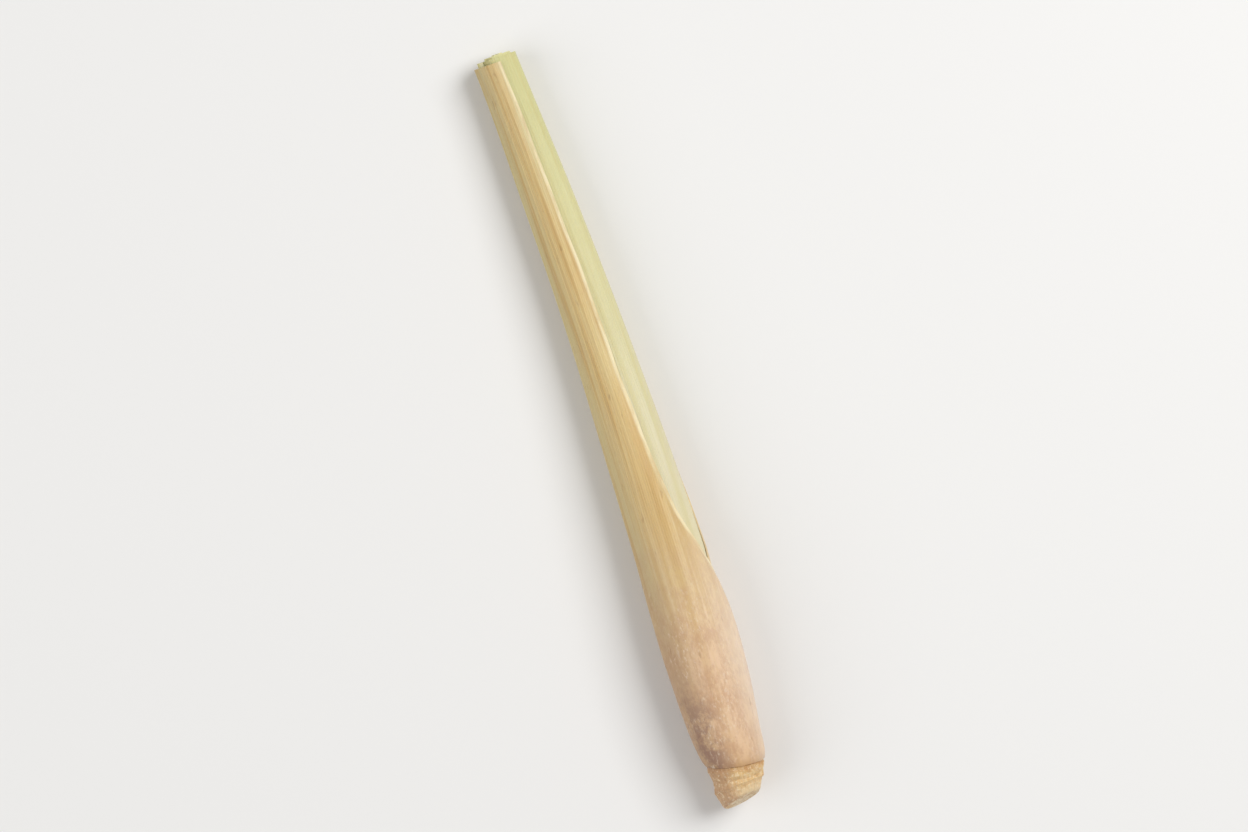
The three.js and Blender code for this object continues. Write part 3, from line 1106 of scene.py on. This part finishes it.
@dataclass
class RolledSheath(FinePiece):
    """One sheath: a sheet that is given its wall and rolled up round the layers below it."""

    layer: int = 0
    even_share: float = 0.45
    crowding: float = 1.9
    tear_reach: float = 0.012
    tear_mean: float = 0.5
    tear_heights: Span = (0.9, 0.3)
    tears_round: float = 46.0
    finer_tears: float = 2.7
    tear_seeds: Span = (7.0, 0.5)

    def build(self) -> bpy.types.Object:
        """Builds and dresses the sheath.

        Returns:
            The finished object.
        """
        sheath = self.roll.sheaths[self.layer]
        bm = bmesh.new()
        steps = {"x_segments": sheath.round_steps, "y_segments": sheath.length_steps}
        bmesh.ops.create_grid(bm, size=1.0, **steps)
        shares = np.array([vert.co[:2] for vert in bm.verts]) / 2 + 0.5
        along = self.places(shares)
        unrolled = shares[:, 0] * (FULL_TURN + sheath.overlap(along))
        angle, outside, inside = self.roll.surfaces(self.layer, along, unrolled)
        source, within = self.thicken(bm)
        radius = np.where(within, inside[source], outside[source])
        self.put(bm, along[source], radius, angle[source])
        lengthwise = along[source] / self.roll.form.length
        write_uv(bm, SHEET_UV, unrolled[source] / FULL_TURN, lengthwise)
        write_uv(bm, GRAIN_UV, angle[source] / FULL_TURN, lengthwise)
        self.mark_cuts(bm, within, lengthwise)
        return self.finish(bm, sheath.node, sheath.slot)

    def places(self, shares: Array) -> Array:
        """Spreads the sheet along the stalk.

        Args:
            shares: one row for each vertex, its share of the way round and of the way along.

        Returns:
            Places in millimetres, closer together near the foot, whose edge is torn.
        """
        sheath = self.roll.sheaths[self.layer]
        around, share = shares.T
        spread = self.even_share * share + (1 - self.even_share) * share**self.crowding
        along = sheath.start + (sheath.end - sheath.start) * spread
        return along + sheath.torn_depth * self.torn(around) * bell(share, self.tear_reach)

    def torn(self, around: Array) -> Array:
        """How far the foot's torn edge falls short of its line.

        Args:
            around: shares of the way round the sheath.

        Returns:
            Shares from 0 to 1.
        """
        by_layer, level = self.tear_seeds
        coarse, fine = self.tear_heights
        rough = []
        for turn in around:
            point = Vector((turn * self.tears_round, self.layer * by_layer, level))
            tears = coarse * noise.noise(point), fine * noise.noise(point * self.finer_tears)
            rough.append(self.tear_mean + tears[0] + tears[1])
        return smooth(np.array(rough))

    def thicken(self, bm: bmesh.types.BMesh) -> tuple[Array, Array]:
        """Gives the flat sheet a second face, joined to the first one all round.

        Args:
            bm: the sheet.

        Returns:
            For each vertex now, the index that it or its original had in the sheet, and whether
            it belongs to the inside.
        """
        origin = bm.verts.layers.int.new("origin")
        for index, vert in enumerate(bm.verts):
            vert[origin] = index
        made = bmesh.ops.extrude_face_region(bm, geom=bm.faces[:])
        copies = {item for item in made["geom"] if isinstance(item, bmesh.types.BMVert)}
        source = np.array([vert[origin] for vert in bm.verts])
        within = np.array([vert in copies for vert in bm.verts])
        bm.verts.layers.int.remove(origin)
        bm.verts.index_update()
        return source, within

    def mark_cuts(self, bm: bmesh.types.BMesh, within: Array, places: Array) -> None:
        """Sets the cut end of the wall apart and keeps the rims of both faces crisp.

        Args:
            bm: the closed sheath.
            within: whether each vertex belongs to the inside.
            places: share of the stalk's length for each vertex.
        """
        last = places.max() - 1e-6
        for face in bm.faces:
            if len({within[v.index] for v in face.verts}) == 1:
                continue
            if all(places[v.index] >= last for v in face.verts):
                face.material_index = 1
            for edge in face.edges:
                if len({within[v.index] for v in edge.verts}) == 1:
                    edge.smooth = False


@dataclass
class RingedPiece(FinePiece):
    """A closed solid made of rings along the stalk, with a pole in the middle of each end."""

    round_steps: int = 144
    seam: float = 270.0

    def angles(self) -> Array:
        """The angles round a ring, in degrees, from the seam under the stalk."""
        return self.seam + np.arange(self.round_steps) * FULL_TURN / self.round_steps

    def solid(self, parts: list[Rings], cuts: tuple[int, int]) -> bmesh.types.BMesh:
        """Builds the solid.

        Args:
            parts: places and radii of its parts, each with one row for every ring.
            cuts: how many rings at each end belong to a cut.

        Returns:
            The mesh, whose cut faces have material number 1.
        """
        along, radius = (np.concatenate(rows) for rows in zip(*parts))
        rings = len(along)
        bm = bmesh.new()
        steps = {"u_segments": self.round_steps, "v_segments": rings + 1}
        bmesh.ops.create_uvsphere(bm, radius=1.0, **steps)
        bm.verts.index_update()
        x, y, z = np.array([vert.co[:] for vert in bm.verts]).T
        depth = np.arccos(np.clip(z, -1, 1)) / math.pi
        ring = np.rint(depth * (rings + 1)).astype(int) - 1
        step = np.rint(np.arctan2(y, x) / math.tau * self.round_steps).astype(int)
        step %= self.round_steps
        pole = (ring < 0) | (ring >= rings)
        row = np.clip(ring, 0, rings - 1)
        where = np.where(pole, along[row].mean(axis=1), along[row, step])
        self.put(bm, where, np.where(pole, 0.0, radius[row, step]), self.angles()[step])
        for name in (SHEET_UV, GRAIN_UV):
            write_uv(bm, name, step / self.round_steps, where / self.roll.form.length)
        for face in bm.faces:
            rows = [ring[v.index] for v in face.verts]
            if max(rows) < cuts[0] or min(rows) >= rings - cuts[1]:
                face.material_index = 1
        for edge in bm.edges:
            edge.smooth = len({face.material_index for face in edge.link_faces}) == 1
        return bm


@dataclass
class RootStub(RingedPiece):
    """The solid stem base: a fibrous cut, ringed sides with root nubs, and the cone inside.

    Bumps are given by how many there are in a millimetre, and by how much of that there is
    along the stub.
    """

    round_steps: int = 160
    length: float = 7.22
    radius: Curve = Curve((
        (0, 3.4), (0.4, 3.85), (1.5, 4.3), (2.5, 4.6), (3, 4.85), (3.7, 4.8), (5.4, 5.2),
        (6.4, 5.45), (7.22, 5.3),
    ))
    mean_radius: float = 4.5
    stem_tip: float = 19.6
    seat_gap: float = 0.22
    step_rise: float = 0.02
    step_rings: int = 7
    stem_clearance: float = 0.1
    probe_step: float = 5.0
    nub_count: int = 7
    nub_height: float = 0.22
    nub_spread: float = 0.75
    nub_turn: float = 137.5
    nub_first: float = 40.0
    nub_top: float = 5.1
    nub_row_step: float = 1.25
    nub_rows: int = 3
    crater_depth: float = 0.3
    crater_share: float = 0.28
    cut_rings: int = 22
    cut_crowding: float = 0.8
    crumb_depth: float = 0.22
    crumb_scale: float = 1.7
    fine_crumb_share: float = 0.6
    fine_crumb_scale: float = 4.1
    side_rings: int = 84
    side_start: float = 0.05
    foot_fade: float = 0.8
    top_fade: float = 0.5
    wrinkle_depth: float = 0.03
    wrinkle_rate: float = 2.9
    wrinkle_width: float = 0.7
    wrinkle_wander: float = 0.9
    wander_bumps: Span = (0.35, 0.4)
    fibre_depth: float = 0.03
    fibre_count: int = 34
    fibre_sway: float = 60.0
    sway_bumps: Span = (0.5, 0.3)
    lump_height: float = 0.14
    lump_mean: float = 0.35
    lump_bumps: Span = (0.75, 1.0)
    grain_depth: float = 0.1
    grain_mean: float = 0.5
    grain_bumps: Span = (2.3, 1.0)

    def nubs(self, angle: Array, along: Array, radius: Array) -> Array:
        """Height of the root nubs over the stub's side.

        Args:
            angle: angles round a ring.
            along: places from the root end.
            radius: the side's radius at each of them.

        Returns:
            How far the nubs stand out there.
        """
        height = np.zeros(np.broadcast(angle, along).shape)
        for i in range(self.nub_count):
            turn = np.radians(turn_from(i * self.nub_turn + self.nub_first, angle)) * radius
            rise = along - (self.nub_top - i % self.nub_rows * self.nub_row_step)
            distance = np.hypot(turn, rise)
            crater = self.crater_depth * bell(distance, self.crater_share * self.nub_spread)
            height = height + self.nub_height * (bell(distance, self.nub_spread) - crater)
        return height

    def roughness(self, angle: Array, along: Array, bumps: Span) -> Array:
        """Seeded unevenness over the stub.

        Args:
            angle: angles round a ring.
            along: places from the root end.
            bumps: how many there are in a millimetre, and the share of that along the stub.

        Returns:
            Values from -1 to 1.
        """
        scale, drawn = bumps
        turn, along = np.broadcast_arrays(np.radians(angle), along * drawn)
        across, up = np.cos(turn) * self.mean_radius, np.sin(turn) * self.mean_radius
        points = np.stack([across, up, along], axis=-1) * scale
        flat = [noise.noise(Vector(point)) for point in points.reshape(-1, 3)]
        return np.array(flat).reshape(along.shape)

    def side(self, angle: Array) -> Rings:
        """The rings of the stub's side.

        Args:
            angle: the angles round a ring.

        Returns:
            Places and radii, one row for each ring.
        """
        rows = np.linspace(self.side_start, self.length, self.side_rings)[:, None]
        along = rows + np.zeros(angle.shape)
        radius = self.radius(along)
        fade = smooth(along / self.foot_fade) * smooth((self.length - along) / self.top_fade)
        wander = self.wrinkle_wander * self.roughness(angle, along, self.wander_bumps)
        folds = np.abs(np.sin((along + wander) * self.wrinkle_rate))
        sway = self.fibre_sway * self.roughness(angle, along, self.sway_bumps)
        fibre = np.cos(np.radians(angle * self.fibre_count + sway)) - 1
        relief = self.wrinkle_depth * (folds**self.wrinkle_width - 1) + self.fibre_depth * fibre
        grain = self.roughness(angle, along, self.grain_bumps) - self.grain_mean
        lumps = self.roughness(angle, along, self.lump_bumps) - self.lump_mean
        uneven = self.lump_height * lumps + self.grain_depth * grain
        return along, radius + fade * (relief + uneven + self.nubs(angle, along, radius))

    def cut(self, angle: Array) -> Rings:
        """The rings of the flat fibrous cut, from its middle to its rim.

        Args:
            angle: the angles round a ring.

        Returns:
            Places and radii, one row for each ring.
        """
        share = np.linspace(1 / self.cut_rings, 1, self.cut_rings)[:, None] ** self.cut_crowding
        radius, turn = np.broadcast_arrays(share * self.radius(0.0), np.radians(angle))
        points = np.stack([radius * np.cos(turn), radius * np.sin(turn), radius * 0], axis=-1)
        coarse, fine = (
            np.array([noise.noise(Vector(point) * scale) for point in points.reshape(-1, 3)])
            for scale in (self.crumb_scale, self.fine_crumb_scale)
        )
        rough = np.abs(coarse + self.fine_crumb_share * fine)
        return self.crumb_depth * rough.reshape(radius.shape), radius

    def stem(self, angle: Array) -> Rings:
        """The rings of the stepped cone inside the bulb, one step for each sheath.

        Args:
            angle: the angles round a ring.

        Returns:
            Places and radii, one row for each ring.
        """
        starts = [sheath.start - self.seat_gap for sheath in self.roll.sheaths[1:]]
        steps = [self.length, *starts, self.stem_tip]
        around = np.arange(0.0, FULL_TURN, self.probe_step)
        along, radius = [], []
        for i, (foot, head) in enumerate(zip(steps, steps[1:])):
            for place in np.linspace(foot + self.step_rise, head, self.step_rings):
                inside = self.roll.outside(i + 1, around, np.full(around.shape, place)).min()
                along.append(np.full(angle.shape, place))
                radius.append(np.full(angle.shape, inside - self.stem_clearance))
        return np.array(along), np.array(radius)

    def build(self) -> bpy.types.Object:
        """Builds and dresses the stub and the stem inside the bulb, as one solid.

        Returns:
            The finished object.
        """
        angle = self.angles()
        parts = [self.cut(angle), self.side(angle), self.stem(angle)]
        return self.finish(self.solid(parts, (self.cut_rings, 0)), "root_stub", "stem_base")


@dataclass
class LeafHeart(RingedPiece):
    """The innermost folded leaf, solid up to the groove between its halves."""

    round_steps: int = 96
    start: float = 20.0
    end: float = 146.2
    fold_angle: float = 90.0
    fold_width: float = 24.0
    fold_depth: float = 0.5
    side_rings: int = 90
    cut_rings: int = 9
    dish_depth: float = 0.12
    dish_lobes: int = 3

    def build(self) -> bpy.types.Object:
        """Builds and dresses the heart, with a slightly uneven cut at its leaf end.

        Returns:
            The finished object.
        """
        angle = self.angles()
        fold = 1 - self.fold_depth * bell(turn_from(self.fold_angle, angle), self.fold_width)
        rows = np.linspace(self.start, self.end, self.side_rings)[:, None]
        side = rows + np.zeros(angle.shape)
        around = np.broadcast_to(angle, side.shape)
        radius = self.roll.outside(len(self.roll.sheaths), around, side) * fold
        inwards = np.linspace(1, 0, self.cut_rings + 2)[1:-1, None]
        lobes = 1 + np.cos(np.radians(angle * self.dish_lobes)) / 3
        cut = self.end - self.dish_depth * (1 - inwards) * lobes
        parts = [(side, radius), (cut, radius[-1] * inwards)]
        return self.finish(self.solid(parts, (0, self.cut_rings + 1)), "leaf_heart", "heart_leaf")


SHEATHS = (
    Sheath(
        node="sheath_outer", slot="old_sheath", start=7.3, end=144.7,
        wall=Curve(((7.4, 1.25), (11, 1.6), (22, 1.35), (45, 1.05), (90, 0.86), (146, 0.8))),
        lip=Curve((
            (7.4, 203), (30, 198), (40, 178), (47, 148), (56, 121), (66, 108), (84, 101), (146, 97),
        )),
        overlap=Curve((
            (7.4, -18), (12, -6), (20, 34), (31, 30), (39, -3), (47, -40), (58, -80), (84, -122),
            (146, -134),
        )),
        tucked=Curve(((7.4, 0), (12, 1), (39, 1), (48, 0), (146, 0))),
        relief=Relief(seed=0.7), pressed_in=True, lip_wall=0.3, torn_depth=0.07,
        round_steps=240, length_steps=165,
    ),
    Sheath(
        node="sheath_second", slot="green_sheath", start=10.6, end=145.6,
        wall=Curve(((10, 1.45), (44, 1.4), (60, 0.92), (146, 0.74))),
        lip=Curve(((10, 14), (60, 20), (146, 26))),
        overlap=Curve(((10, -16), (15, -6), (25, 34), (146, 44))),
        tucked=Curve(((10, 0), (15, 1), (146, 1))),
        relief=Relief(veins=52, vein_depth=0.06, hollow_depth=0.05, seed=2.1),
        lip_wall=0.4, round_steps=240, length_steps=110,
    ),
    Sheath(
        node="sheath_third", slot="pale_sheath", start=13.8, end=146,
        wall=Curve(((13, 1), (30, 0.85), (146, 0.68))),
        lip=Curve(((13, 186), (146, 194))),
        overlap=Curve(((13, -13), (146, -13))),
        tucked=Curve(((13, 0), (146, 0))),
        relief=Relief(veins=40, vein_depth=0.04, hollow_depth=0.02, lip_wave=0.6, seed=3.3),
        lip_wall=0.4, round_steps=130, length_steps=70,
    ),
    Sheath(
        node="sheath_fourth", slot="pale_sheath", start=17, end=145.8,
        wall=Curve(((17, 0.85), (146, 0.64))),
        lip=Curve(((17, 340), (146, 330))),
        overlap=Curve(((17, -50), (146, -70))),
        tucked=Curve(((17, 0), (146, 0))),
        relief=Relief(veins=30, vein_depth=0.03, hollow_depth=0.02, lip_wave=0.6, seed=4.6),
        lip_wall=0.4, round_steps=100, length_steps=70,
    ),
)


@dataclass
class Stalk:
    """The whole stalk: every fine piece, placed together."""

    roll: Roll = Roll(StalkForm(), SHEATHS)
    probe_places: int = 253

    def centre(self) -> Vector:
        """How far the pieces move so that the heart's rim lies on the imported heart's box.

        Returns:
            The shift in metres.
        """
        _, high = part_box("leaf_heart")
        places = np.linspace(LeafHeart.start, LeafHeart.end, self.probe_places)
        along, angle = np.meshgrid(places, np.arange(0.0, FULL_TURN))
        radius = self.roll.outside(len(self.roll.sheaths), angle, along)
        rim = self.roll.form.place(along, radius, angle) * MM
        return Vector((high[0] - rim[..., 0].max(), high[1] - rim[..., 1].max(), 0.0))

    def build(self) -> list[bpy.types.Object]:
        """Builds and dresses every piece.

        Returns:
            The sheaths from the oldest to the youngest, the root stub and the heart.
        """
        shared = (self.roll, self.centre(), Palette())
        sheaths = [RolledSheath(*shared, layer=i).build() for i in range(len(self.roll.sheaths))]
        return [*sheaths, RootStub(*shared).build(), LeafHeart(*shared).build()]


@dataclass(frozen=True)
class Lamp:
    """A soft square lamp, hung by the picture's own right and up, in metres and watts."""

    name: str
    right: float
    up: float
    height: float
    size: float
    power: float


@dataclass
class Studio:
    """A pale floor, soft light and the camera straight above."""

    lean: float = 18.5
    lens: float = 120.0
    height: float = 0.78
    target: Span = (0.002, 0.0)
    floor_size: float = 3.0
    floor_color: str = "ecebe9"
    floor_roughness: float = 0.8
    floor_specular: float = 0.1
    lamps: tuple[Lamp, ...] = (
        Lamp("key", right=0.55, up=0.35, height=0.8, size=0.6, power=7.5),
        Lamp("fill", right=-0.7, up=-0.2, height=0.6, size=0.8, power=3.2),
    )
    sky_color: str = "ffffff"
    sky_strength: float = 0.36

    def build(self) -> None:
        """Builds the floor, the lights and the camera, and keeps the colours plain."""
        self.build_floor()
        self.build_lights()
        self.build_camera()
        view = bpy.context.scene.view_settings
        view.view_transform = "Standard"
        view.look = "None"

    def build_floor(self) -> None:
        """A plain floor just under the stalk."""
        bm = bmesh.new()
        bmesh.ops.create_grid(bm, x_segments=1, y_segments=1, size=self.floor_size / 2)
        mesh = bpy.data.meshes.new("floor")
        bm.to_mesh(mesh)
        bm.free()
        floor = bpy.data.objects.new("floor", mesh)
        bpy.context.scene.collection.objects.link(floor)
        material = bpy.data.materials.new("floor")
        material.use_nodes = True
        shader = material.node_tree.nodes["Principled BSDF"]
        shader.inputs["Base Color"].default_value = tint(self.floor_color)
        shader.inputs["Roughness"].default_value = self.floor_roughness
        shader.inputs["Specular IOR Level"].default_value = self.floor_specular
        mesh.materials.append(material)

    def build_lights(self) -> None:
        """A large key light to the picture's upper right, a weaker fill opposite, a pale sky."""
        roll = math.radians(-90 - self.lean)
        right = Vector((math.cos(roll), math.sin(roll), 0))
        up = Vector((-math.sin(roll), math.cos(roll), 0))
        for lamp in self.lamps:
            light = bpy.data.lights.new(lamp.name, "AREA")
            light.size = lamp.size
            light.energy = lamp.power
            spot = right * lamp.right + up * lamp.up + Vector((0, 0, lamp.height))
            hung = bpy.data.objects.new(lamp.name, light)
            hung.location = spot
            hung.rotation_euler = (-spot).to_track_quat("-Z", "Y").to_euler()
            bpy.context.scene.collection.objects.link(hung)
        world = bpy.data.worlds.new("sky")
        world.use_nodes = True
        sky = world.node_tree.nodes["Background"]
        sky.inputs["Color"].default_value = tint(self.sky_color)
        sky.inputs["Strength"].default_value = self.sky_strength
        bpy.context.scene.world = world

    def build_camera(self) -> None:
        """The camera looks straight down, turned so that the leaf end leans to the left."""
        data = bpy.data.cameras.new("camera")
        data.lens = self.lens
        camera = bpy.data.objects.new("camera", data)
        camera.location = (*self.target, self.height)
        camera.rotation_euler = (0.0, 0.0, math.radians(-90 - self.lean))
        bpy.context.scene.collection.objects.link(camera)
        bpy.context.scene.camera = camera


def main() -> None:
    """Builds the stalk and the studio round it, and reports each piece."""
    logging.basicConfig(level=logging.INFO, format="%(name)s: %(message)s")
    for piece in Stalk().build():
        LOG.info("%s: %d faces", piece.name, len(piece.data.polygons))
    Studio().build()


if __name__ == "__main__":
    main()
